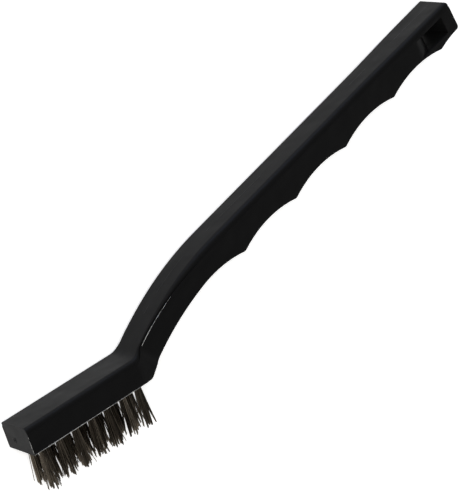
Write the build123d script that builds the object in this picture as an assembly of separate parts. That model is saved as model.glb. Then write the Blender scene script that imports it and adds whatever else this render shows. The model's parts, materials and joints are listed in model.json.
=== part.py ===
from build123d import *
import math
import os

# Small wire scratch brush, lying on its side: +Z is up, the straight grip lies along X with
# its tail at +X, the spine faces +Y and the wires point towards -Y.
# The sketches are drawn with the front lower corner of the head as (0, 0) and the grip along
# X; place() then moves every piece so that the origin is under the middle of the brush.

# ---- Driving dimensions, millimetres and degrees ----
# Head block
bend_before_last_tuft = 0.52  # the neck's bend starts this far ahead of the last tufts
bend_radius = 4.0             # hollow bend between the head and the neck
head_height = 7.85            # wire face to spine
body_width = 11.5             # head and tail, side to side
heel_radius = 2.0             # rounding of the heel corner

# Neck and grip
grip_angle = 14.35            # grip raised from the wire face
neck_turn = 24.7              # further rise of the neck where it leaves the head
neck_radius = 91.0            # arc of the neck's spine
neck_thickness = 7.85
neck_width = 9.3              # narrowest, just behind the head
neck_narrowing = 5.0          # length over which the head narrows into the neck
grip_width = 10.4
grip_length = 105.75          # straight part, end of the neck arc to the tail end
tail_flare_length = 26.0      # the grip widens again over this length
tail_flat_length = 12.0       # full-width stretch at the tail

# Finger ridges under the grip
ridge_count = 5
ridge_pitch = 22.65
first_ridge = 5.9             # end of the neck arc to the first ridge
first_hollow = 16.5           # end of the neck's underside arc to the first ridge
ridge_depth = 10.55           # spine to ridge tip
scallop_depth = 2.05          # hollow between two ridges
ridge_radius = 1.2            # rounding of a ridge tip
tail_depth = 9.55             # spine to lower corner at the tail end
tail_corner_radius = 1.0
tail_lean = 0.2               # the end face leans back by this much at the spine
tail_top_radius = 0.9         # rounding where the spine meets the end face

# Spine edges: fillet radius and the small parting step below the fillet
head_fillet = 1.4
neck_fillet = 0.35
grip_fillet = 1.6
wide_step = 0.05              # parting step on head and grip
neck_step = 0.5               # parting step at the neck
step_drop = 0.22              # height of the step's wall under the fillet

# Hang slot through the tail, scooped from both sides at its head end
slot_length = 13.3
slot_width = 5.6
slot_from_tail = 4.5          # tail end to the slot
slot_below_spine = 2.45
scoop_radius = 8.0

# Wire tufts
first_tuft = 4.3              # front face to the first tufts of the outer rows
outer_row_tufts = 7           # the middle row has one fewer, set between them
tuft_pitch = 5.52
row_spacing = 2.6
hole_diameter = 1.9
hole_depth = 5.6
trim_length = 12.7            # free length of the wires
tuft_end_gap = 0.205          # between the trimmed ends of neighbouring tufts
tuft_end_rounding = 0.5

# Flat anchors that hold the folded wires at the bottom of each hole
anchor_length = 3.0           # longer than the hole is wide, so its ends bite into the plastic
anchor_thickness = 0.4
anchor_height = 1.5
fold_thickness = 0.6          # wires folded between the anchor and the hole bottom

# ---- Derived places ----
head_top_length = first_tuft + (outer_row_tufts - 1) * tuft_pitch - bend_before_last_tuft
nearest_tufts = min(math.hypot(row_spacing, tuft_pitch / 2), tuft_pitch, 2 * row_spacing)
bend_turn = grip_angle + neck_turn
bend_start = Vector(head_top_length, head_height).rotate(Axis.Z, -grip_angle)
bend_centre = bend_start + Vector(0, bend_radius).rotate(Axis.Z, -grip_angle)
neck_start = bend_centre + Vector(0, -bend_radius).rotate(Axis.Z, neck_turn)
neck_centre = neck_start + Vector(0, -neck_radius).rotate(Axis.Z, neck_turn)
neck_end_x = neck_centre.X
spine_y = neck_centre.Y + neck_radius
tail_x = neck_end_x + grip_length
first_ridge_x = neck_end_x + first_ridge
ridge_y = spine_y - ridge_depth
scallop_radius = (ridge_pitch**2 / 4 + scallop_depth**2) / (2 * scallop_depth)
bend_length = bend_radius * math.radians(bend_turn)
neck_length = neck_radius * math.radians(neck_turn)
section_depth = 1.5 * max(ridge_depth, neck_thickness, head_height)
clear = 2.0                   # how far cutters and blanks run past what they cut


def head_point(along, up):
    """A point given along and above the wire face, in the grip's frame."""
    return Vector(along, up).rotate(Axis.Z, -grip_angle)


def ease(value):
    """Smooth step from 0 to 1."""
    value = min(max(value, 0.0), 1.0)
    return value * value * (3 - 2 * value)


def line_meets_circle(start, direction, centre, radius):
    """Where a line runs into a circle for the first time."""
    unit = direction.normalized()
    along = (centre - start).dot(unit)
    offset = (centre - start).length**2 - along**2
    return start + unit * (along - math.sqrt(radius**2 - offset))


def on_circle(centre, radius, x):
    """The upper point of a circle at x."""
    return Vector(x, centre.Y + math.sqrt(radius**2 - (x - centre.X)**2))


# ---- Handle: side outline ----
def underside_edges():
    """Edges from the heel, along the neck and over the finger ridges, to the tail."""
    under_radius = neck_radius - neck_thickness
    heel = line_meets_circle(head_point(0, 0), head_point(1, 0), neck_centre, under_radius)
    under_stop = on_circle(neck_centre, under_radius, first_ridge_x - first_hollow)
    neck_mid = on_circle(neck_centre, under_radius, (heel.X + under_stop.X) / 2)
    edges = [ThreePointArc(heel, neck_mid, under_stop)]
    tips = [Vector(first_ridge_x + n * ridge_pitch, ridge_y) for n in range(ridge_count)]
    edges.append(TangentArc(under_stop, tips[0], tangent=edges[-1] % 1))
    for start, stop in zip(tips, tips[1:]):
        valley = (start + stop) * 0.5 + Vector(0, scallop_depth)
        edges.append(ThreePointArc(start, valley, stop))
    corner = Vector(tail_x, spine_y - tail_depth)
    edges.append(RadiusArc(tips[-1], corner, scallop_radius))
    return heel, tips, corner, edges


def side_outline():
    """Everything below the spine, with free room above it for the spine's own shape."""
    heel, tips, corner, edges = underside_edges()
    front = head_point(0, 0)
    brow = Vector(tail_x - tail_lean, spine_y)
    above = [corner, brow, Vector(neck_end_x, spine_y + clear),
             head_point(0, head_height + clear), front, heel]
    face = make_face(edges + [Polyline(*above)])
    rounded = fillet(near(face, tips), ridge_radius)
    rounded = fillet(near(rounded, [heel]), heel_radius)
    rounded = fillet(near(rounded, [corner]), tail_corner_radius)
    return fillet(near(rounded, [brow]), tail_top_radius)


def near(face, points):
    """The corners of a face that lie at the given points."""
    return [v for v in face.vertices() if min((Vector(v) - p).length for p in points) < 0.01]


# ---- Handle: cross-sections along the spine ----
def spine_section(plane, width, radius, step):
    """One cross-section: flat spine, rounded edges, a small step, then straight sides."""
    half = width / 2
    inner = half - step
    ledge = -radius - step_drop
    bend = radius * (1 - math.sqrt(0.5))
    with BuildSketch(plane) as sketch:
        with BuildLine():
            Polyline((-inner, -radius), (-inner, ledge), (-half, ledge), (-half, -section_depth),
                     (half, -section_depth), (half, ledge), (inner, ledge), (inner, -radius))
            ThreePointArc((inner, -radius), (inner - bend, -bend), (inner - radius, 0))
            Line((inner - radius, 0), (-inner + radius, 0))
            ThreePointArc((-inner + radius, 0), (-inner + bend, -bend), (-inner, -radius))
        make_face()
    return sketch.sketch.face()


def spine_plane(distance):
    """Plane across the spine, measured from the start of the bend towards the tail."""
    along_neck = distance - bend_length
    if distance <= 0:
        turn = -grip_angle
        origin = bend_start + Vector(distance, 0).rotate(Axis.Z, turn)
    elif along_neck <= 0:
        turn = math.degrees(distance / bend_radius) - grip_angle
        origin = bend_centre + Vector(0, -bend_radius).rotate(Axis.Z, turn)
    else:
        turn = max(neck_turn - math.degrees(along_neck / neck_radius), 0)
        straight = max(along_neck - neck_length, 0)
        origin = neck_centre + Vector(0, neck_radius).rotate(Axis.Z, turn) + Vector(straight, 0)
    origin += Vector(0, 0, body_width / 2)
    return Plane(origin=origin, x_dir=Vector(0, 0, 1), z_dir=Vector(-1, 0).rotate(Axis.Z, turn))


def section_sizes(distance):
    """Width, fillet radius and step of the neck and grip at a distance from the bend."""
    arched = bend_length + neck_length
    flare_end = arched + grip_length - tail_flat_length
    leaving = ease(distance / neck_narrowing)
    growing = ease((distance - neck_narrowing) / (arched - neck_narrowing))
    flaring = ease((distance - flare_end + tail_flare_length) / tail_flare_length)
    full = body_width + wide_step
    width = full + (neck_width - full) * leaving + (grip_width - neck_width) * growing
    width += (full - grip_width) * flaring
    radius = head_fillet + (neck_fillet - head_fillet) * leaving
    radius += (grip_fillet - neck_fillet) * growing
    step = wide_step + (neck_step - wide_step) * leaving * (1 - growing)
    return width, radius, step


def neck_and_grip():
    """Ruled loft of the spine sections from the start of the bend to past the tail."""
    arched = bend_length + neck_length
    flare_end = arched + grip_length - tail_flat_length
    flare_start = flare_end - tail_flare_length
    stations = spread(0, neck_narrowing, 10) + spread(neck_narrowing, arched, 14)
    stations += [arched] + spread(flare_start, flare_end, 8) + [flare_end, arched + grip_length + clear]
    sections = [spine_section(spine_plane(d), *section_sizes(d)) for d in stations]
    return loft(sections, ruled=True)


def spread(start, stop, count):
    """Evenly spaced distances from start up to, but not including, stop."""
    return [start + (stop - start) * n / count for n in range(count)]


def head_block():
    """Straight head, from ahead of the front face to the start of the bend."""
    section = spine_section(spine_plane(0), *section_sizes(0))
    return extrude(section, amount=head_top_length + clear, dir=spine_plane(0).z_dir)


# ---- Hang slot ----
def hang_slot():
    """Slot through the tail, its head end rolled over from both sides."""
    end = tail_x - slot_from_tail
    start = end - slot_length
    low = spine_y - slot_below_spine - slot_width
    block = Pos(start, low, -clear) * Box(slot_length, slot_width, body_width + 2 * clear,
                                          align=(Align.MIN, Align.MIN, Align.MIN))
    rolls = [Pos(start, low + slot_width / 2, z) * Rot(X=90) * Cylinder(scoop_radius, slot_width)
             for z in (scoop_radius, body_width - scoop_radius)]
    return block - (rolls[0] & rolls[1])


# ---- Tufts, holes and anchors ----
def tuft_places():
    """Name, distance along the wire face and height across the body of every tuft."""
    places = []
    for row, side, count in (("upper", 1, outer_row_tufts), ("middle", 0, outer_row_tufts - 1),
                             ("lower", -1, outer_row_tufts)):
        shift = tuft_pitch / 2 if side == 0 else 0
        for n in range(count):
            z = body_width / 2 + side * row_spacing
            places.append((f"{row}_{n + 1}", first_tuft + shift + n * tuft_pitch, z))
    return places


def at_hole(along, z, piece):
    """Put a piece drawn on the Z axis, mouth of the hole at 0 and +Z into the head, in place."""
    mouth = head_point(along, 0)
    return Pos(mouth.X, mouth.Y, z) * Rot(Z=-grip_angle) * Rot(X=-90) * piece


def hole_cutter():
    """Blind round hole with a narrow slit for the ends of the anchor."""
    hole = Pos(Z=-clear) * Cylinder(hole_diameter / 2, hole_depth + clear,
                                    align=(Align.CENTER, Align.CENTER, Align.MIN))
    return hole + anchor()


def anchor():
    """Flat anchor, standing on edge across the hole below the fold of the wires."""
    top = hole_depth - fold_thickness
    return Pos(Z=top) * Box(anchor_length, anchor_thickness, anchor_height,
                            align=(Align.CENTER, Align.CENTER, Align.MAX))


def tuft():
    """Bundle of wires: round root in the hole, spreading slightly to the trimmed end."""
    root_radius = hole_diameter / 2
    end_radius = (nearest_tufts - tuft_end_gap) / 2
    root = Cylinder(root_radius, hole_depth, align=(Align.CENTER, Align.CENTER, Align.MIN))
    free = Pos(Z=-trim_length) * Cone(end_radius, root_radius, trim_length,
                                      align=(Align.CENTER, Align.CENTER, Align.MIN))
    end_edge = free.edges().sort_by(Axis.Z)[0]
    bundle = root + fillet(end_edge, tuft_end_rounding)
    return bundle - anchor()


# ---- Assembly ----
def handle():
    """The moulding: head, neck and grip in one, with its slot and its holes."""
    outline = extrude(side_outline(), amount=body_width, dir=(0, 0, 1))
    body = (head_block() + neck_and_grip()) & outline
    body -= hang_slot()
    holes = [at_hole(along, z, hole_cutter()) for _, along, z in tuft_places()]
    return body - holes


def pieces():
    """Every piece by name, still in the sketch frame."""
    made = {"handle": handle()}
    for name, along, z in tuft_places():
        made[f"tuft_{name}"] = at_hole(along, z, tuft())
        made[f"anchor_{name}"] = at_hole(along, z, anchor())
    return made


def place(made):
    """Move the pieces so that the origin is under the middle of the whole brush."""
    boxes = [piece.bounding_box() for piece in made.values()]
    middle_x = (min(box.min.X for box in boxes) + max(box.max.X for box in boxes)) / 2
    middle_y = (min(box.min.Y for box in boxes) + max(box.max.Y for box in boxes)) / 2
    shift = Pos(-middle_x, -middle_y, -min(box.min.Z for box in boxes))
    return {name: shift * piece for name, piece in made.items()}


os.makedirs("parts", exist_ok=True)
for name, piece in place(pieces()).items():
    export_step(piece, f"parts/{name}.step")
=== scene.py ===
"""A small wire scratch brush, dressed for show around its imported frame.

The brush lies on its side: +Z is up, the straight grip runs along X with its tail at +X, the
spine faces +Y and the wires point towards -Y. Everything is in metres.
"""
import json
import logging
import math
from dataclasses import dataclass
from enum import Enum
from typing import Any

import bmesh
import bpy
from mathutils import Matrix, Vector


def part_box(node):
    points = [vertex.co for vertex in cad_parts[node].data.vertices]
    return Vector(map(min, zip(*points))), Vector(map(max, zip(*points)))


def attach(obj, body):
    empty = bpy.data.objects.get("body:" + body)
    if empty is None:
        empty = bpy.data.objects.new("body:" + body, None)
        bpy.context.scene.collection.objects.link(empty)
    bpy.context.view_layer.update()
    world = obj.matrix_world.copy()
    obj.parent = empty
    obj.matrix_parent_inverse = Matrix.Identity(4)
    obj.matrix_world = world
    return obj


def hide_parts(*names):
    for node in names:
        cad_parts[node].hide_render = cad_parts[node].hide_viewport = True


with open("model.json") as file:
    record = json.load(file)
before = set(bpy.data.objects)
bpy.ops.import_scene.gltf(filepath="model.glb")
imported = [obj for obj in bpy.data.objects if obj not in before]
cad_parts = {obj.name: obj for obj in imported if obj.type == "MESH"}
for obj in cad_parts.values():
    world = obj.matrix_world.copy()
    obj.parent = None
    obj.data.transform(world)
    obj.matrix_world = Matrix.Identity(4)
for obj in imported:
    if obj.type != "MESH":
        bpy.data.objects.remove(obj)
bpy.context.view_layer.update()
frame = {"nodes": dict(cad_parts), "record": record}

LOG = logging.getLogger("wire_brush")
MM = 0.001
UP = Vector((0.0, 0.0, 1.0))
SAME_PLACE = 0.001 * MM     # corners closer than this are merged
NOISE_SPAN = (0.3, 0.7)     # nearly all values of a noise lie between these

Pair = tuple[float, float]
Triple = tuple[float, float, float]
Sockets = dict[str, bpy.types.NodeSocket]


# ---------------------------------------------------------------- small helpers
def linear(hex_colour: str) -> tuple[float, float, float, float]:
    """Turn an sRGB hex colour into linear light.

    Args:
        hex_colour: six hex digits after a hash sign.

    Returns:
        Red, green, blue and an alpha of 1.
    """
    parts = [int(hex_colour[i:i + 2], 16) / 255 for i in (1, 3, 5)]
    light = [p / 12.92 if p <= 0.04045 else ((p + 0.055) / 1.055) ** 2.4 for p in parts]
    return (*light, 1.0)


def add(tree: bpy.types.NodeTree, kind: str, inputs: Any = (), pick: Any = 0,
        **settings: Any) -> bpy.types.NodeSocket:
    """Add one node with its settings and links.

    Args:
        tree: the tree that gets the node.
        kind: the node's type name.
        inputs: values or sockets, by position in a list or by name or position in a dict.
        pick: name or position of the output that is wanted.
        **settings: properties of the node.

    Returns:
        The picked output socket, or the node itself where it has no outputs.
    """
    node = tree.nodes.new(kind)
    for name, value in settings.items():
        setattr(node, name, value)
    for key, value in (inputs.items() if isinstance(inputs, dict) else enumerate(inputs)):
        if isinstance(value, bpy.types.NodeSocket):
            tree.links.new(value, node.inputs[key])
        else:
            node.inputs[key].default_value = value
    return node.outputs[pick] if node.outputs else node


def start_material(name: str) -> tuple[bpy.types.Material, bpy.types.NodeTree, bpy.types.Node]:
    """Start a material.

    Args:
        name: the material's name.

    Returns:
        The material, its node tree and its shader.
    """
    material = bpy.data.materials.new(name)
    material.use_nodes = True
    return material, material.node_tree, material.node_tree.nodes["Principled BSDF"]


def link_object(name: str, mesh: bpy.types.Mesh) -> bpy.types.Object:
    """Put a mesh into the scene as a new object at the origin.

    Args:
        name: the object's name.
        mesh: its mesh.

    Returns:
        The new object.
    """
    piece = bpy.data.objects.new(name, mesh)
    bpy.context.scene.collection.objects.link(piece)
    return piece


def settled(piece: bpy.types.Object) -> None:
    """Turn a piece and its modifiers into a plain mesh, and drop the modifiers.

    Args:
        piece: the object to settle.
    """
    graph = bpy.context.evaluated_depsgraph_get()
    mesh = bpy.data.meshes.new_from_object(piece.evaluated_get(graph), depsgraph=graph,
                                           preserve_all_data_layers=True)
    piece.modifiers.clear()
    mesh.name = piece.name
    piece.data = mesh


def node_points(node: str) -> list[Vector]:
    """Corners of a CAD node's mesh."""
    return [v.co.copy() for v in frame["nodes"][node].data.vertices]


def reach(points: list[Vector], direction: Vector) -> Pair:
    """How far a set of points reaches along a direction, at its lowest and highest."""
    along = [p.dot(direction) for p in points]
    return min(along), max(along)


def waver(at: float, *waves: Triple) -> float:
    """A factor that wavers about 1, from sines given as share, rate and start."""
    return 1 + sum(share * math.sin(rate * at + start) for share, rate, start in waves)


# ---------------------------------------------------------------- finishes
@dataclass(frozen=True)
class MouldedPolypropylene:
    """Black polypropylene, injection moulded in a finely blasted tool.

    It gives a deep black that turns to a soft grey sheen at low angles, with a faint grain, slow
    flow marks along the grip, and a thin parting line down the spine.
    """

    name: str = "black_moulded_polypropylene"
    colour: str = "#101010"
    dust: str = "#2c2c2c"
    ior: float = 1.49
    specular: float = 0.07            # low: the blasted skin scatters its shine
    roughness: float = 0.42
    roughness_swing: float = 0.06
    grain: float = 0.45 * MM          # blasted texture, drawn coarser than the real 0.1 mm
    grain_height: float = 0.006 * MM
    flow_width: float = 2.2 * MM
    flow_length: float = 34.0 * MM
    sink_width: float = 6.5 * MM      # broad sinks where thick plastic shrank as it cooled
    sink_depth: float = 0.24 * MM
    parting_width: float = 0.16 * MM
    parting_height: float = 0.03 * MM
    parting_facing: Pair = (0.80, 0.95)    # the line shows only on faces turned to the back
    parting_depth: float = 5.0 * MM   # and only this far in from the spine
    break_length: float = 9.0 * MM    # it comes and goes over this length
    break_span: Pair = (0.48, 0.56)
    speck_spacing: float = 9.0 * MM
    speck_size: float = 0.13 * MM
    speck_core: float = 0.6           # share of a speck that has its full tone

    def make(self, middle: float, spine: float) -> bpy.types.Material:
        """Build the material.

        Args:
            middle: height of the mould's parting plane.
            spine: place of the spine across the brush.

        Returns:
            The finished material.
        """
        material, tree, shader = start_material(self.name)
        shader.inputs["IOR"].default_value = self.ior
        shader.inputs["Specular IOR Level"].default_value = self.specular
        place = add(tree, "ShaderNodeTexCoord", pick="Object")
        tree.links.new(self._colour(tree, place), shader.inputs["Base Color"])
        tree.links.new(self._gloss(tree, place), shader.inputs["Roughness"])
        tree.links.new(self._relief(tree, place, middle, spine), shader.inputs["Normal"])
        return material

    def _colour(self, tree: bpy.types.NodeTree,
                place: bpy.types.NodeSocket) -> bpy.types.NodeSocket:
        """A black that hardly varies, with a few specks of dust.

        Args:
            tree: the material's nodes.
            place: the place on the brush.

        Returns:
            The colour.
        """
        cell = add(tree, "ShaderNodeTexVoronoi",
                   {"Vector": place, "Scale": 1 / self.speck_spacing}, pick="Distance")
        edge = self.speck_size / self.speck_spacing
        speck = add(tree, "ShaderNodeMapRange", [cell, edge * self.speck_core, edge, 1.0, 0.0])
        return add(tree, "ShaderNodeMix", {0: speck, 6: linear(self.colour), 7: linear(self.dust)},
                   pick=2, data_type="RGBA")

    def _gloss(self, tree: bpy.types.NodeTree,
               place: bpy.types.NodeSocket) -> bpy.types.NodeSocket:
        """Slow flow marks along the grip that change the gloss.

        Args:
            tree: the material's nodes.
            place: the place on the brush.

        Returns:
            The roughness.
        """
        across, length = 1 / self.flow_width, 1 / self.flow_length
        stretched = add(tree, "ShaderNodeMapping",
                        {"Vector": place, "Scale": (length, across, across)})
        flow = add(tree, "ShaderNodeTexNoise", {"Vector": stretched, "Scale": 1.0, "Detail": 3.0})
        low = self.roughness - self.roughness_swing / 2
        return add(tree, "ShaderNodeMapRange",
                   [flow, *NOISE_SPAN, low, low + self.roughness_swing])

    def _relief(self, tree: bpy.types.NodeTree, place: bpy.types.NodeSocket, middle: float,
                spine: float) -> bpy.types.NodeSocket:
        """Broad sinks and fine grain all over, and a broken parting line on the spine.

        Args:
            tree: the material's nodes.
            place: the place on the brush.
            middle: height of the mould's parting plane.
            spine: place of the spine across the brush.

        Returns:
            The normal.
        """
        grain = add(tree, "ShaderNodeTexNoise",
                    {"Vector": place, "Scale": 1 / self.grain, "Detail": 2.0})
        sinks = add(tree, "ShaderNodeTexNoise",
                    {"Vector": place, "Scale": 1 / self.sink_width, "Detail": 1.0})
        wavy = add(tree, "ShaderNodeBump",
                   {"Height": sinks, "Distance": self.sink_depth, "Strength": 1.0})
        rough = add(tree, "ShaderNodeBump", {"Height": grain, "Distance": self.grain_height,
                                             "Strength": 1.0, "Normal": wavy})
        parts = add(tree, "ShaderNodeSeparateXYZ", [place]).node.outputs
        off = add(tree, "ShaderNodeMath", [parts["Z"], middle], operation="SUBTRACT")
        away = add(tree, "ShaderNodeMath", [off], operation="ABSOLUTE")
        line = add(tree, "ShaderNodeMapRange", [away, 0.0, self.parting_width, 1.0, 0.0])
        normal = add(tree, "ShaderNodeNewGeometry", pick="Normal")
        backwards = add(tree, "ShaderNodeSeparateXYZ", [normal], pick="Y")
        facing = add(tree, "ShaderNodeMapRange", [backwards, *self.parting_facing, 0.0, 1.0])
        back = add(tree, "ShaderNodeMath", [parts["Y"], spine - self.parting_depth],
                   operation="GREATER_THAN")
        breaks = add(tree, "ShaderNodeTexNoise",
                     {"Vector": place, "Scale": 1 / self.break_length, "Detail": 3.0})
        kept = add(tree, "ShaderNodeMapRange", [breaks, *self.break_span, 0.0, 1.0])
        for limit in (facing, back, kept):
            line = add(tree, "ShaderNodeMath", [line, limit], operation="MULTIPLY")
        return add(tree, "ShaderNodeBump", {"Height": line, "Distance": self.parting_height,
                                            "Strength": 1.0, "Normal": rough})


@dataclass(frozen=True)
class FlashPaintedHighlight:
    """The same plastic on thin beads of moulding flash, dull, with a pale painted highlight broken
    into streaks along the rim.
    """

    name: str = "flash_painted_highlight"
    dark: str = "#2a2a2a"
    # painted highlight: this pale tint stands for light caught on the rim, not a colour of the
    # plastic
    pale: str = "#b4b4b0"
    ior: float = 1.49
    roughness: float = 0.5
    highlight_break_length: float = 3.0 * MM
    highlight_break_width: float = 0.3 * MM
    highlight_break_span: Pair = (0.30, 0.58)

    def make(self) -> bpy.types.Material:
        """Build the material.

        Returns:
            The finished material.
        """
        material, tree, shader = start_material(self.name)
        shader.inputs["Roughness"].default_value = self.roughness
        shader.inputs["IOR"].default_value = self.ior
        place = add(tree, "ShaderNodeTexCoord", pick="Object")
        highlight_stretch = (1 / self.highlight_break_length, 1 / self.highlight_break_width, 1 / self.highlight_break_width)
        stretched = add(tree, "ShaderNodeMapping", {"Vector": place, "Scale": highlight_stretch})
        # noise breaks the painted highlight into streaks along the rim
        highlight_breaks = add(tree, "ShaderNodeTexNoise", {"Vector": stretched, "Scale": 1.0, "Detail": 4.0})
        share = add(tree, "ShaderNodeMapRange", [highlight_breaks, *self.highlight_break_span, 0.0, 1.0])
        tint = add(tree, "ShaderNodeMix", {0: share, 6: linear(self.dark), 7: linear(self.pale)},
                   pick=2, data_type="RGBA")
        tree.links.new(tint, shader.inputs["Base Color"])
        return material


@dataclass(frozen=True)
class DrawnStainlessWire:
    """Stainless steel wire as drawn and hardened: dull, slightly brown, each wire its own shade."""

    name: str = "drawn_stainless_wire"
    dark: str = "#221e19"
    light: str = "#82786a"
    roughness: float = 0.34
    roughness_swing: float = 0.06
    shade_length: float = 5.0 * MM    # drawing marks change the shade along a wire
    shade_swing: float = 0.14

    def make(self) -> bpy.types.Material:
        """Build the material, which reads each wire's own tone.

        Returns:
            The finished material.
        """
        material, tree, shader = start_material(self.name)
        shader.inputs["Metallic"].default_value = 1.0
        tone = add(tree, "ShaderNodeAttribute", pick="Fac", attribute_name="tone")
        place = add(tree, "ShaderNodeTexCoord", pick="Object")
        marks = add(tree, "ShaderNodeTexNoise",
                    {"Vector": place, "Scale": 1 / self.shade_length, "Detail": 4.0})
        shade = add(tree, "ShaderNodeMapRange",
                    [marks, *NOISE_SPAN, -self.shade_swing, self.shade_swing])
        mixed = add(tree, "ShaderNodeMath", [tone, shade], operation="ADD", use_clamp=True)
        tint = add(tree, "ShaderNodeMix", {0: mixed, 6: linear(self.dark), 7: linear(self.light)},
                   pick=2, data_type="RGBA")
        tree.links.new(tint, shader.inputs["Base Color"])
        gloss = add(tree, "ShaderNodeMapRange",
                    [mixed, 0.0, 1.0, self.roughness + self.roughness_swing,
                     self.roughness - self.roughness_swing])
        tree.links.new(gloss, shader.inputs["Roughness"])
        return material


@dataclass(frozen=True)
class RolledSteel:
    """Flat steel anchor wire: bright and plain, with rolling marks along it."""

    name: str = "rolled_steel_strip"
    colour: str = "#b9b9ba"
    roughness: float = 0.32
    roughness_swing: float = 0.07
    mark_width: float = 0.12 * MM
    mark_length: float = 2.4 * MM

    def make(self) -> bpy.types.Material:
        """Build the material.

        Returns:
            The finished material.
        """
        material, tree, shader = start_material(self.name)
        shader.inputs["Metallic"].default_value = 1.0
        shader.inputs["Base Color"].default_value = linear(self.colour)
        place = add(tree, "ShaderNodeTexCoord", pick="Object")
        drawn_out = (1 / self.mark_length, 1 / self.mark_length, 1 / self.mark_width)
        fine = add(tree, "ShaderNodeMapping", {"Vector": place, "Scale": drawn_out})
        marks = add(tree, "ShaderNodeTexNoise", {"Vector": fine, "Scale": 1.0, "Detail": 2.0})
        gloss = add(tree, "ShaderNodeMapRange",
                    [marks, *NOISE_SPAN, self.roughness - self.roughness_swing,
                     self.roughness + self.roughness_swing])
        tree.links.new(gloss, shader.inputs["Roughness"])
        return material


@dataclass(frozen=True)
class LightTable:
    """Plain pale table top, lit a little from below so that shadows on it stay faint."""

    name: str = "pale_light_table"
    colour: str = "#f2f2f1"
    roughness: float = 0.9
    light: str = "#ffffff"
    glow: float = 0.55

    def make(self) -> bpy.types.Material:
        """Build the material.

        Returns:
            The finished material.
        """
        material, _, shader = start_material(self.name)
        shader.inputs["Base Color"].default_value = linear(self.colour)
        shader.inputs["Roughness"].default_value = self.roughness
        shader.inputs["Specular IOR Level"].default_value = 0.0
        shader.inputs["Emission Color"].default_value = linear(self.light)
        shader.inputs["Emission Strength"].default_value = self.glow
        return material


# ---------------------------------------------------------------- the head's own directions
class Row(Enum):
    """The rows of tufts, from the upper side of the brush to the lower, and their counts."""

    UPPER = ("upper", 7)
    MIDDLE = ("middle", 6)
    LOWER = ("lower", 7)

    @property
    def label(self) -> str:
        """Name of the row, as the CAD nodes have it."""
        return self.value[0]

    @property
    def count(self) -> int:
        """Number of tufts in the row."""
        return self.value[1]


@dataclass(frozen=True)
class HeadFrame:
    """Directions and main levels of the angled head, read from the CAD pieces."""

    along: Vector
    out: Vector
    mouth: float      # how far out the wire face is, where the tufts' holes open
    middle: float     # height of the mould's parting plane

    @classmethod
    def read(cls) -> "HeadFrame":
        """Work the head out from the two end tufts of the upper row and from the handle.

        Returns:
            The head's directions and levels.
        """
        ends = [sum(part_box(f"tuft_upper_{n}"), Vector()) / 2 for n in (1, Row.UPPER.count)]
        along = (ends[1] - ends[0]).normalized()
        out = Vector((along.y, -along.x, 0.0))
        low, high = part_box("handle")
        return cls(along, out, reach(node_points("handle"), out)[1], (low.z + high.z) / 2)

    def point(self, along: float, out: float, height: float) -> Vector:
        """A place given by distances along the head, out along the wires, and up."""
        return self.along * along + self.out * out + UP * height


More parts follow.
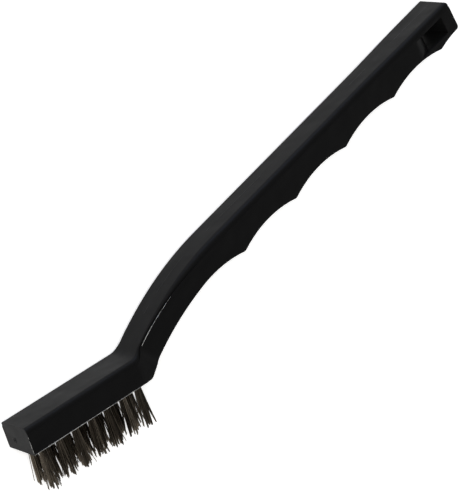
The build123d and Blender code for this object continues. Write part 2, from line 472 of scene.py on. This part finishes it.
# ---------------------------------------------------------------- handle
@dataclass
class HandleMoulding:
    """The one-piece handle: the CAD shape with rounded outer rims, gate mark, and flash beads
    coloured with a painted highlight.
    """

    head: HeadFrame
    finish: MouldedPolypropylene
    flash: FlashPaintedHighlight
    flat_angle: float = math.radians(0.02)  # faces this close to one plane become one face
    rim_angle: float = math.radians(60)     # outer edges sharper than this are rims
    wall_rise: float = 0.3                  # a wall's normal rises less than this
    side_rise: float = 0.9                  # and a flat side's more than this
    spine_turn: float = 0.75                # the spine's normal points back more than this
    ledge_turn: float = 0.5                 # and the ledge's more than this
    rim_radius: float = 0.24 * MM
    rim_segments: int = 2
    crease: float = math.radians(34)
    slot_margin: float = 0.6 * MM           # the rim stays sharp this near the slot
    scoop_margin: float = 10.0 * MM         # and this near its scoop
    gate_radius: float = 0.75 * MM
    gate_height: float = 0.10 * MM
    gate_up: float = 3.0 * MM               # above the wire face
    gate_offset: float = -1.6 * MM          # from the middle, towards the lower side
    gate_profile: tuple[Pair, ...] = ((1.00, -1.0), (1.00, 0.35), (0.90, 0.8), (0.76, 0.6),
                                      (0.62, -0.1), (0.42, -0.2), (0.30, 0.9), (0.12, 1.2))
    gate_sides: int = 20
    # beads of flash, coloured with a painted highlight
    flash_radius: float = 0.11 * MM
    flash_end: float = 0.6                  # share of the radius left at a bead's far end
    flash_tip: float = 0.35                 # share of that radius at its very tips
    flash_taper: float = 8.0                # how fast it grows from there
    flash_sides: int = 8
    flash_step: float = 0.8 * MM
    flash_swell: tuple[Triple, ...] = ((0.18, 2.3, 0.0), (0.12, 5.1, 1.0))
    front_flash: float = 0.6                # radius at the front face, as a share of the usual
    front_gap: float = 1.6 * MM             # bare length at the spine end of the front edges
    heel_gap: float = 0.8 * MM              # bare length before the heel
    face_margin: float = 0.02 * MM
    front_margin: float = 0.05 * MM
    # a thin bead on each neck ledge corner, coloured as a painted highlight of the ledge's glossy
    # reflection
    ledge_highlight_bead_radius: float = 0.085 * MM
    ledge_highlight_bead_length: float = 17.0 * MM
    ledge_highlight_bead_end: float = 0.15

    def build(self) -> bpy.types.Object:
        """Make the moulding and let it stand for the CAD handle.

        Returns:
            The finished piece.
        """
        low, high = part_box("handle")
        slot = next(o for o in frame["record"]["physics"]["openings"])["box_m"]
        work = bmesh.new()
        work.from_mesh(frame["nodes"]["handle"].data)
        bmesh.ops.remove_doubles(work, verts=work.verts, dist=SAME_PLACE)
        bmesh.ops.dissolve_limit(work, angle_limit=self.flat_angle, verts=work.verts,
                                 edges=work.edges)
        rims = [edge for edge in work.edges if self._is_rim(edge, *slot)]
        ledges = [self._ledge(work, 1), self._ledge(work, -1)]
        bmesh.ops.bevel(work, geom=rims, offset=self.rim_radius, offset_type="OFFSET",
                        segments=self.rim_segments, profile=0.5, affect="EDGES",
                        clamp_overlap=False)
        bmesh.ops.remove_doubles(work, verts=work.verts, dist=2 * SAME_PLACE)
        bmesh.ops.dissolve_degenerate(work, edges=work.edges, dist=SAME_PLACE)
        for face in work.faces:
            face.smooth = True
        for edge in work.edges:
            edge.smooth = edge.calc_face_angle(0.0) < self.crease
        bmesh.ops.triangulate(work, faces=work.faces)
        self._gate_mark(work)
        self._head_beads_painted_highlight(work, low.z, high.z)
        # beads on the neck's ledge corners, carrying a painted highlight where the ledge catches
        # light
        for ledge in ledges:
            self._bead(work, ledge, self.ledge_highlight_bead_radius, self.ledge_highlight_bead_end)
        mesh = bpy.data.meshes.new("handle_moulding")
        mesh.materials.append(self.finish.make(self.head.middle, high.y))
        # material 1: the flash beads' painted highlight
        mesh.materials.append(self.flash.make())
        work.to_mesh(mesh)
        work.free()
        piece = link_object("handle_moulding", mesh)
        piece.modifiers.new("weighted normals", "WEIGHTED_NORMAL").keep_sharp = True
        settled(piece)
        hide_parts("handle")
        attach(piece, "root")
        return piece

    def _is_outer(self, edge: bmesh.types.BMEdge) -> bool:
        """Whether an edge is a sharp one that sticks out."""
        return len(edge.link_faces) == 2 and edge.calc_face_angle_signed(0.0) >= self.rim_angle

    def _is_rim(self, edge: bmesh.types.BMEdge, slot_low: Triple, slot_high: Triple) -> bool:
        """Whether an edge is an outer rim between a flat side and the front, underside or tail.

        Args:
            edge: the edge.
            slot_low: lowest corner of the box around the hang slot.
            slot_high: highest corner of that box.

        Returns:
            True for a rim, which is to be rounded.
        """
        if not self._is_outer(edge):
            return False
        wall, side = sorted((f.normal for f in edge.link_faces), key=lambda n: abs(n.z))
        middle = (edge.verts[0].co + edge.verts[1].co) / 2
        beside_slot = slot_low[1] - self.slot_margin < middle.y < slot_high[1] + self.slot_margin
        along_slot = slot_low[0] - self.scoop_margin < middle.x < slot_high[0] + self.slot_margin
        square = abs(wall.z) <= self.wall_rise and abs(side.z) >= self.side_rise
        return square and wall.y < self.spine_turn and not (beside_slot and along_slot)

    def _ledge(self, work: bmesh.types.BMesh, side: int) -> list[Vector]:
        """Corner of the parting ledge on the neck, from its narrowest place towards the grip.

        Args:
            work: the handle's mesh.
            side: 1 for the upper side of the brush, -1 for the lower.

        Returns:
            Points along the corner, in order.
        """
        found = set()
        for edge in filter(self._is_outer, work.edges):
            ledge, wall = sorted((f.normal for f in edge.link_faces), key=lambda n: abs(n.z))
            faces_back = abs(ledge.z) < self.wall_rise and ledge.y > self.ledge_turn
            if faces_back and wall.z * side > self.side_rise:
                found.update(tuple(v.co) for v in edge.verts)
        points = sorted((Vector(p) for p in found), key=lambda p: p.x)
        start = min(points, key=lambda p: p.z * side)
        kept = [p for p in points if 0 <= p.x - start.x <= self.ledge_highlight_bead_length]
        return [p for run in zip(kept, kept[1:]) for p in self._steps(*run)[:-1]] + kept[-1:]

    def _head_beads_painted_highlight(self, work: bmesh.types.BMesh, low: float, high: float) -> None:
        """Flash beads, coloured with a painted highlight, where the wire face meets the sides, and
        up the front edges.

        Args:
            work: the mesh that gets the beads.
            low: height of the handle's lower side.
            high: height of its upper side.
        """
        points = node_points("handle")
        along, out, mouth = self.head.along, self.head.out, self.head.mouth
        face = [p for p in points if abs(p.dot(out) - mouth) < self.face_margin]
        front, heel = reach(face, along)
        spine = reach([p for p in points if p.dot(along) < front + self.front_margin], out)[0]
        inset = self.rim_radius * (1 - math.sqrt(0.5))
        swollen = self.flash_radius * (1 + sum(share for share, _, _ in self.flash_swell))
        for height in (low + swollen, high - inset):
            start = self.head.point(front + inset, mouth - inset, height)
            end = self.head.point(heel - self.heel_gap, mouth - inset, height)
            top = self.head.point(front + inset, spine + self.front_gap, height)
            self._bead(work, self._steps(start, end), self.flash_radius, self.flash_end)
            self._bead(work, self._steps(top, start), self.front_flash * self.flash_radius,
                       self.flash_end)

    def _steps(self, start: Vector, end: Vector) -> list[Vector]:
        """Points on a straight run, close enough for a bead to swell."""
        count = max(int((end - start).length / self.flash_step), 3)
        return [start.lerp(end, n / count) for n in range(count + 1)]

    def _bead(self, work: bmesh.types.BMesh, path: list[Vector], radius: float,
              last: float) -> None:
        """A round bead of slightly changing thickness, tapered and closed at both ends.

        Args:
            work: the mesh that gets the bead.
            path: points along its middle.
            radius: its usual radius.
            last: share of the radius left at its far end.
        """
        turns = [math.tau * k / self.flash_sides for k in range(self.flash_sides)]
        loops = []
        for n, place in enumerate(path):
            share = n / (len(path) - 1)
            run = path[min(n + 1, len(path) - 1)] - path[max(n - 1, 0)]
            side = run.cross(UP).normalized()
            size = radius * waver(n, *self.flash_swell) * (1 + (last - 1) * share)
            size *= min(1.0, self.flash_tip + self.flash_taper * min(share, 1 - share))
            spokes = [side * math.cos(turn) + UP * math.sin(turn) for turn in turns]
            loops.append([work.verts.new(place + size * spoke) for spoke in spokes])
        # material 1 is the flash finish, whose pale tint is a painted highlight
        self._skin(work, loops, material=1)

    def _gate_mark(self, work: bmesh.types.BMesh) -> None:
        """A low ring with a broken nub on the front face, where the plastic was fed in.

        Args:
            work: the mesh that gets the mark.
        """
        front = reach(node_points("handle"), self.head.along)[0]
        centre = self.head.point(front, self.head.mouth - self.gate_up,
                                 self.head.middle + self.gate_offset)
        loops = []
        for size, rise in self.gate_profile:
            loop = []
            for n in range(self.gate_sides):
                turn = math.tau * n / self.gate_sides
                # three and five uneven lobes around, and two in height
                ragged = waver(turn, (0.10, 3, 7 * size), (0.06, 5, 0))
                lift = rise * self.gate_height * waver(turn, (0.3, 2, 1))
                spoke = self.head.out * math.cos(turn) + UP * math.sin(turn)
                loop.append(work.verts.new(centre + spoke * (self.gate_radius * size * ragged)
                                           - self.head.along * lift))
            loops.append(loop)
        bmesh.ops.triangulate(work, faces=self._skin(work, loops, material=0))

    def _skin(self, work: bmesh.types.BMesh, loops: list[list[bmesh.types.BMVert]],
              material: int) -> list[bmesh.types.BMFace]:
        """Cover a row of loops with faces and close both ends.

        Args:
            work: the mesh that holds the loops.
            loops: loops of equally many corners.
            material: number of the faces' material.

        Returns:
            The new faces.
        """
        made = [work.faces.new((a[k], a[(k + 1) % len(a)], b[(k + 1) % len(a)], b[k]))
                for a, b in zip(loops, loops[1:]) for k in range(len(a))]
        made += [work.faces.new(loops[0][::-1]), work.faces.new(loops[-1])]
        for face in made:
            face.smooth = True
            face.material_index = material
        bmesh.ops.recalc_face_normals(work, faces=made)
        return made


# ---------------------------------------------------------------- wires
class Draw(Enum):
    """The random draws of a wire, each with its own offset to the tuft's seed."""

    STRAY = 0
    TRIM = 100
    BOW = 200
    TONE = 300


@dataclass
class WireTufts:
    """All the tufts: separate wires, spreading, clumping and trimmed a little unevenly."""

    head: HeadFrame
    finish: DrawnStainlessWire
    wires: int = 76
    wire_diameter: float = 0.2 * MM
    wire_sides: int = 6
    held_length: float = 3.3 * MM      # part of a wire inside its hole, down to the anchor
    root_margin: float = 0.1 * MM
    spread: float = 1.14               # loosened in use, wider than a new tuft
    stray: float = 0.09                # random shift of a wire's end, as a share of the spread
    lean_bend: float = 1.15            # the wire leans outwards as this power of its free length
    bow: float = 0.12 * MM
    unevenness: float = 0.5 * MM
    trim: Pair = (-1.0, 0.55)          # a wire's own change in length, as shares of unevenness
    clump_trim: Pair = (-1.2, 0.4)     # the same for its whole clump
    clump_point: float = -1.3          # and for its distance from the middle of the clump
    clump_size: float = 1.6 * MM
    clump_pull: float = 0.72
    clump_bend: float = 2.6            # the pull grows as this power of the free length
    clump_shift: Triple = (3.1, 5.7, 0.0)    # moves the clumps, so that each tuft's differ
    clump_tone: float = 0.35           # share of a wire's tone that its clump sets
    bright_wires: float = 2.2          # power of the wire's own tone, so that few are bright
    first_turn: float = 1.7
    rings: int = 7
    seed: int = 40

    def build(self) -> list[bpy.types.Object]:
        """Make every tuft and let it stand for its CAD solid.

        Returns:
            One piece for each tuft.
        """
        material = self.finish.make()
        tree = self._tree()
        pieces = []
        for row in Row:
            for n in range(1, row.count + 1):
                pieces.append(self._tuft(tree, material, f"{row.label}_{n}", len(pieces)))
        bpy.data.node_groups.remove(tree)
        return pieces

    def _tuft(self, tree: bpy.types.NodeTree, material: bpy.types.Material, label: str,
              number: int) -> bpy.types.Object:
        """Make one tuft where its CAD node stands.

        Args:
            tree: the node tree that grows the wires.
            material: the wires' finish.
            label: row and number of the tuft.
            number: running number, which sets its random draws.

        Returns:
            The finished piece.
        """
        points = node_points(f"tuft_{label}")
        sideways = reach(points, self.head.along)
        outward = reach(points, self.head.out)
        height = reach(points, UP)
        root = reach([p for p in points if p.dot(self.head.out) < outward[0] + self.root_margin],
                     self.head.along)
        start = self.head.point(sum(sideways) / 2, self.head.mouth, sum(height) / 2)
        mesh = bpy.data.meshes.new(f"wires_{label}")
        mesh.from_pydata([start], [], [])
        piece = link_object(f"wires_{label}", mesh)
        values = {
            "Wires": self.wires, "Wire Diameter": self.wire_diameter,
            "Root Radius": (root[1] - root[0]) / 2,
            "Tip Radius": self.spread * (height[1] - height[0]) / 2,
            "Trim Length": outward[1] - self.head.mouth, "Held Length": self.held_length,
            "Unevenness": self.unevenness, "Clump Size": self.clump_size,
            "Clump Pull": self.clump_pull, "Bow": self.bow, "Rings": self.rings,
            "Along": tuple(self.head.along), "Out": tuple(self.head.out),
            "Seed": self.seed + number, "Material": material,
        }
        grown = piece.modifiers.new("wires", "NODES")
        grown.node_group = tree
        for item in tree.interface.items_tree:
            if item.in_out == "INPUT" and item.name in values:
                grown[item.identifier] = values[item.name]
        settled(piece)
        for name in ("strand", "root", "tip", "bow", "pull"):
            if name in piece.data.attributes:
                piece.data.attributes.remove(piece.data.attributes[name])
        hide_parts(f"tuft_{label}")
        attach(piece, "root")
        return piece

    def _tree(self) -> bpy.types.NodeTree:
        """Build the node tree that grows a tuft from one point at the mouth of its hole.

        Returns:
            The tree.
        """
        tree = bpy.data.node_groups.new("grow_wire_tuft", "GeometryNodeTree")
        tree.is_modifier = True
        kinds = {"Geometry": "Geometry", "Wires": "Int", "Wire Diameter": "Float",
                 "Root Radius": "Float", "Tip Radius": "Float", "Trim Length": "Float",
                 "Held Length": "Float", "Unevenness": "Float", "Clump Size": "Float",
                 "Clump Pull": "Float", "Bow": "Float", "Rings": "Int", "Along": "Vector",
                 "Out": "Vector", "Seed": "Int", "Material": "Material"}
        for name, kind in kinds.items():
            tree.interface.new_socket(name, in_out="INPUT", socket_type=f"NodeSocket{kind}")
        tree.interface.new_socket("Geometry", in_out="OUTPUT", socket_type="NodeSocketGeometry")
        given = dict(tree.nodes.new("NodeGroupInput").outputs.items())
        given["Wire Radius"] = add(tree, "ShaderNodeMath", [given["Wire Diameter"], 0.5],
                                   operation="MULTIPLY")
        curves = self._bend_wires(tree, given, self._wire_points(tree, given))
        outline = add(tree, "GeometryNodeCurvePrimitiveCircle",
                      {"Resolution": self.wire_sides, "Radius": given["Wire Radius"]})
        solid = add(tree, "GeometryNodeCurveToMesh",
                    {"Curve": curves, "Profile Curve": outline, "Fill Caps": True})
        smooth = add(tree, "GeometryNodeSetShadeSmooth", {"Geometry": solid})
        whole = add(tree, "GeometryNodeRealizeInstances", {"Geometry": smooth})
        dressed = add(tree, "GeometryNodeSetMaterial",
                      {"Geometry": whole, "Material": given["Material"]})
        add(tree, "NodeGroupOutput", {"Geometry": dressed})
        return tree

    def _wire_points(self, tree: bpy.types.NodeTree, given: Sockets) -> bpy.types.NodeSocket:
        """Give every wire its place in the hole, its end, its bow, its clump's pull and its tone.

        Args:
            tree: the node tree.
            given: the tree's inputs, by name.

        Returns:
            Points at the mouth, one for each wire, that carry those values.
        """
        point = add(tree, "GeometryNodeMeshToPoints", {"Mesh": given["Geometry"]})
        wires = add(tree, "GeometryNodeDuplicateElements",
                    {"Geometry": point, "Amount": given["Wires"]}, domain="POINT")
        index = add(tree, "GeometryNodeInputIndex")
        seeds = {draw: add(tree, "ShaderNodeMath", [given["Seed"], draw.value], operation="ADD")
                 for draw in Draw}
        root, free = self._places(tree, given, index, seeds[Draw.STRAY])
        clump = self._clumps(tree, given, free)

        own_trim = add(tree, "FunctionNodeRandomValue",
                       {2: self.trim[0], 3: self.trim[1], 7: index, 8: seeds[Draw.TRIM]}, pick=1,
                       data_type="FLOAT")
        clump_trim = add(tree, "ShaderNodeMapRange", [clump["Red"], 0.0, 1.0, *self.clump_trim])
        cut = add(tree, "ShaderNodeMath", [own_trim, clump_trim], operation="ADD")
        pointed = add(tree, "ShaderNodeMath", [clump["Distance"], self.clump_point, cut],
                      operation="MULTIPLY_ADD")
        length = add(tree, "ShaderNodeMath", [pointed, given["Unevenness"], given["Trim Length"]],
                     operation="MULTIPLY_ADD")
        flat = add(tree, "ShaderNodeSeparateXYZ", [free]).node.outputs
        tip = add(tree, "ShaderNodeCombineXYZ", [flat["X"], flat["Y"], length])

        bend = add(tree, "FunctionNodeRandomValue",
                   {0: (-1.0, -1.0, 0.0), 1: (1.0, 1.0, 0.0), 7: index, 8: seeds[Draw.BOW]},
                   data_type="FLOAT_VECTOR")
        bow = add(tree, "ShaderNodeVectorMath", {0: bend, "Scale": given["Bow"]}, operation="SCALE")
        own_tone = add(tree, "FunctionNodeRandomValue",
                       {2: 0.0, 3: 1.0, 7: index, 8: seeds[Draw.TONE]}, pick=1, data_type="FLOAT")
        bright = add(tree, "ShaderNodeMath", [own_tone, self.bright_wires], operation="POWER")
        tone = add(tree, "ShaderNodeMath", [clump["Green"], self.clump_tone, bright],
                   operation="MULTIPLY_ADD")

        for name, kind, value in (("strand", "INT", index), ("root", "FLOAT_VECTOR", root),
                                  ("tip", "FLOAT_VECTOR", tip), ("bow", "FLOAT_VECTOR", bow),
                                  ("pull", "FLOAT_VECTOR", clump["Pull"]), ("tone", "FLOAT", tone)):
            wires = add(tree, "GeometryNodeStoreNamedAttribute",
                        {"Geometry": wires, "Name": name, "Value": value},
                        data_type=kind, domain="POINT")
        return wires

    def _places(self, tree: bpy.types.NodeTree, given: Sockets, index: bpy.types.NodeSocket,
                seed: bpy.types.NodeSocket) -> tuple[bpy.types.NodeSocket, bpy.types.NodeSocket]:
        """Spread the wires evenly over a disc, as seeds lie in a sunflower.

        Args:
            tree: the node tree.
            given: the tree's inputs, by name.
            index: number of the wire.
            seed: seed of the random shift of the wires' ends.

        Returns:
            The wire's place in its hole, and the one at its free end before it is pulled aside.
        """
        step = add(tree, "ShaderNodeMath", [index, 0.5], operation="ADD")
        share = add(tree, "ShaderNodeMath", [step, given["Wires"]], operation="DIVIDE")
        size = add(tree, "ShaderNodeMath", [share], operation="SQRT")
        golden = math.pi * (3 - math.sqrt(5))
        first = add(tree, "ShaderNodeMath", [given["Seed"], self.first_turn], operation="MULTIPLY")
        turn = add(tree, "ShaderNodeMath", [index, golden, first], operation="MULTIPLY_ADD")
        x = add(tree, "ShaderNodeMath", [turn], operation="COSINE")
        y = add(tree, "ShaderNodeMath", [turn], operation="SINE")
        spoke = add(tree, "ShaderNodeCombineXYZ", [x, y, 0.0])
        spoke = add(tree, "ShaderNodeVectorMath", {0: spoke, "Scale": size}, operation="SCALE")
        discs = []
        for radius in (given["Root Radius"], given["Tip Radius"]):
            inner = add(tree, "ShaderNodeMath", [radius, given["Wire Radius"]],
                        operation="SUBTRACT")
            discs.append(add(tree, "ShaderNodeVectorMath", {0: spoke, "Scale": inner},
                             operation="SCALE"))
        shake = add(tree, "FunctionNodeRandomValue",
                    {0: (-1.0, -1.0, 0.0), 1: (1.0, 1.0, 0.0), 7: index, 8: seed},
                    data_type="FLOAT_VECTOR")
        most = add(tree, "ShaderNodeMath", [given["Tip Radius"], self.stray], operation="MULTIPLY")
        shift = add(tree, "ShaderNodeVectorMath", {0: shake, "Scale": most}, operation="SCALE")
        return discs[0], add(tree, "ShaderNodeVectorMath", [discs[1], shift], operation="ADD")

    def _clumps(self, tree: bpy.types.NodeTree, given: Sockets,
                free: bpy.types.NodeSocket) -> Sockets:
        """Gather the wires' ends into clumps.

        Args:
            tree: the node tree.
            given: the tree's inputs, by name.
            free: the place of the wire's free end.

        Returns:
            The pull on the wire, its distance from the clump's middle, and two random values of
            the clump, Red and Green.
        """
        per_clump = add(tree, "ShaderNodeMath", [1.0, given["Clump Size"]], operation="DIVIDE")
        scaled = add(tree, "ShaderNodeVectorMath", {0: free, "Scale": per_clump}, operation="SCALE")
        away = add(tree, "ShaderNodeVectorMath", {0: self.clump_shift, "Scale": given["Seed"]},
                   operation="SCALE")
        spot = add(tree, "ShaderNodeVectorMath", [scaled, away], operation="ADD")
        cells = add(tree, "ShaderNodeTexVoronoi", {"Vector": spot, "Scale": 1.0},
                    pick="Position", voronoi_dimensions="2D").node.outputs
        centre = add(tree, "ShaderNodeVectorMath", [cells["Position"], away],
                     operation="SUBTRACT")
        centre = add(tree, "ShaderNodeVectorMath", {0: centre, "Scale": given["Clump Size"]},
                     operation="SCALE")
        pull = add(tree, "ShaderNodeVectorMath", [centre, free], operation="SUBTRACT")
        pull = add(tree, "ShaderNodeVectorMath", {0: pull, "Scale": given["Clump Pull"]},
                   operation="SCALE")
        chance = add(tree, "ShaderNodeSeparateXYZ", [cells["Color"]]).node.outputs
        return {"Pull": pull, "Distance": cells["Distance"], "Red": chance["X"],
                "Green": chance["Y"]}

    def _bend_wires(self, tree: bpy.types.NodeTree, given: Sockets,
                    wires: bpy.types.NodeSocket) -> bpy.types.NodeSocket:
        """Turn each wire's point into a curve from the anchor to the trimmed end.

        Args:
            tree: the node tree.
            given: the tree's inputs, by name.
            wires: points that carry each wire's start, end, bow and pull.

        Returns:
            One curve for each wire.
        """
        spread = add(tree, "GeometryNodeDuplicateElements",
                     {"Geometry": wires, "Amount": given["Rings"]}, domain="POINT").node
        step = spread.outputs["Duplicate Index"]
        strand = add(tree, "GeometryNodeInputNamedAttribute", {"Name": "strand"}, data_type="INT")
        root, tip, bow, pull = (add(tree, "GeometryNodeInputNamedAttribute", {"Name": name},
                                    data_type="FLOAT_VECTOR")
                                for name in ("root", "tip", "bow", "pull"))
        length = add(tree, "ShaderNodeSeparateXYZ", [tip], pick="Z")
        last = add(tree, "ShaderNodeMath", [given["Rings"], 1.0], operation="SUBTRACT")
        share = add(tree, "ShaderNodeMath", [step, last], operation="DIVIDE")
        deep = add(tree, "ShaderNodeMath", [given["Held Length"], -1.0], operation="MULTIPLY")
        out = add(tree, "ShaderNodeMapRange", [share, 0.0, 1.0, deep, length])
        free = add(tree, "ShaderNodeMath", [out, length], operation="DIVIDE", use_clamp=True)
        leaning = add(tree, "ShaderNodeMath", [free, self.lean_bend], operation="POWER")
        half_turn = add(tree, "ShaderNodeMath", [free, math.pi], operation="MULTIPLY")
        arch = add(tree, "ShaderNodeMath", [half_turn], operation="SINE")
        late = add(tree, "ShaderNodeMath", [free, self.clump_bend], operation="POWER")
        aside = add(tree, "ShaderNodeMix", {0: leaning, 4: root, 5: tip}, pick=1,
                    data_type="VECTOR")
        for push, amount in ((bow, arch), (pull, late)):
            more = add(tree, "ShaderNodeVectorMath", {0: push, "Scale": amount}, operation="SCALE")
            aside = add(tree, "ShaderNodeVectorMath", [aside, more], operation="ADD")
        flat = add(tree, "ShaderNodeSeparateXYZ", [aside]).node.outputs
        offset = add(tree, "ShaderNodeCombineXYZ", [0.0, 0.0, flat["Y"]])
        for direction, amount in ((given["Along"], flat["X"]), (given["Out"], out)):
            more = add(tree, "ShaderNodeVectorMath", {0: direction, "Scale": amount},
                       operation="SCALE")
            offset = add(tree, "ShaderNodeVectorMath", [offset, more], operation="ADD")
        placed = add(tree, "GeometryNodeSetPosition",
                     {"Geometry": spread.outputs["Geometry"], "Offset": offset})
        return add(tree, "GeometryNodePointsToCurves",
                   {"Points": placed, "Curve Group ID": strand, "Weight": step})


# ---------------------------------------------------------------- anchors
@dataclass
class Anchors:
    """The flat anchors at the bottom of the holes, which keep their CAD shape."""

    finish: RolledSteel

    def dress(self) -> int:
        """Give every CAD anchor its finish.

        Returns:
            The number of anchors dressed.
        """
        material = self.finish.make()
        names = [f"anchor_{row.label}_{n}" for row in Row for n in range(1, row.count + 1)]
        for name in names:
            for slot in frame["nodes"][name].material_slots:
                slot.material = material
        return len(names)


# ---------------------------------------------------------------- floor, light and camera
@dataclass(frozen=True)
class SoftLamp:
    """A soft square lamp that faces the brush and isn't seen itself."""

    name: str
    place: Triple
    size: float       # length of its side
    power: float      # in watts
    colour: str

    def hang(self) -> None:
        """Hang the lamp in the scene."""
        light = bpy.data.lights.new(self.name, "AREA")
        light.shape = "SQUARE"
        light.size = self.size
        light.energy = self.power
        light.color = linear(self.colour)[:3]
        holder = bpy.data.objects.new(self.name, light)
        holder.location = self.place
        holder.visible_camera = False
        holder.rotation_euler = Vector(self.place).to_track_quat("Z", "Y").to_euler()
        bpy.context.scene.collection.objects.link(holder)


@dataclass(frozen=True)
class StudioCamera:
    """The camera, above the spine and ahead of the brush, and rolled."""

    place: Triple = (-0.254632, 0.294277, 0.443184)
    right: Triple = (0.63084, -0.43658, 0.64144)
    up: Triple = (0.65076, 0.74790, -0.13096)
    focal_length: float = 151.797     # in millimetres, as the sensor's width is
    sensor_width: float = 36.0
    shift: Pair = (0.00765, 0.00324)
    clip: Pair = (0.01, 20.0)

    def stand(self) -> None:
        """Stand the camera in the scene, with everything in focus."""
        camera = bpy.data.cameras.new("camera")
        camera.lens = self.focal_length
        camera.sensor_width = self.sensor_width
        camera.shift_x, camera.shift_y = self.shift
        camera.clip_start, camera.clip_end = self.clip
        holder = bpy.data.objects.new("camera", camera)
        right = Vector(self.right).normalized()
        back = right.cross(Vector(self.up)).normalized()
        turn = Matrix((right, back.cross(right), back)).transposed().to_4x4()
        holder.matrix_world = Matrix.Translation(self.place) @ turn
        bpy.context.scene.collection.objects.link(holder)
        bpy.context.scene.camera = holder


@dataclass
class Studio:
    """A pale light table, two soft lamps, a surround that glows at its horizon, and the camera."""

    table: LightTable
    camera: StudioCamera
    table_size: float = 6.0
    lamps: tuple[SoftLamp, ...] = (
        SoftLamp("soft_lamp", (-0.50, 0.62, 1.05), size=0.9, power=9.0, colour="#fffdfa"),
        SoftLamp("fill_lamp", (0.55, 1.15, 0.27), size=0.5, power=3.4, colour="#9dbcff"),
    )
    surround: str = "#ffffff"
    surround_strength: float = 0.10
    horizon_strength: float = 1.2
    horizon_fade: Pair = (0.32, 0.70)    # heights on the sky between which the glow fades

    def build(self) -> None:
        """Lay the floor, hang the lamps, set the surround and stand the camera."""
        half = self.table_size / 2
        mesh = bpy.data.meshes.new("floor")
        mesh.from_pydata([(-half, -half, 0), (half, -half, 0), (half, half, 0), (-half, half, 0)],
                         [], [(0, 1, 2, 3)])
        mesh.materials.append(self.table.make())
        link_object("floor", mesh)
        for lamp in self.lamps:
            lamp.hang()
        self._set_surround()
        bpy.context.scene.view_settings.view_transform = "Standard"
        self.camera.stand()

    def _set_surround(self) -> None:
        """Make the surround: dim overhead, and bright down to the horizon."""
        world = bpy.data.worlds.new("surround")
        world.use_nodes = True
        tree = world.node_tree
        sky = tree.nodes["Background"]
        sky.inputs["Color"].default_value = linear(self.surround)
        rise = add(tree, "ShaderNodeSeparateXYZ", [add(tree, "ShaderNodeTexCoord")], pick="Z")
        glow = add(tree, "ShaderNodeMapRange", [rise, *self.horizon_fade, self.horizon_strength,
                                                self.surround_strength])
        tree.links.new(glow, sky.inputs["Strength"])
        bpy.context.scene.world = world


def main() -> None:
    """Build the pieces in order."""
    logging.basicConfig(level=logging.INFO, format="%(name)s: %(message)s")
    head = HeadFrame.read()
    handle = HandleMoulding(head, MouldedPolypropylene(), FlashPaintedHighlight()).build()
    LOG.info("%s: %d faces", handle.name, len(handle.data.polygons))
    for tuft in WireTufts(head, DrawnStainlessWire()).build():
        LOG.info("%s: %d faces", tuft.name, len(tuft.data.polygons))
    LOG.info("anchors dressed: %d", Anchors(RolledSteel()).dress())
    Studio(LightTable(), StudioCamera()).build()
    LOG.info("floor, lamps and camera ready")


if __name__ == "__main__":
    main()
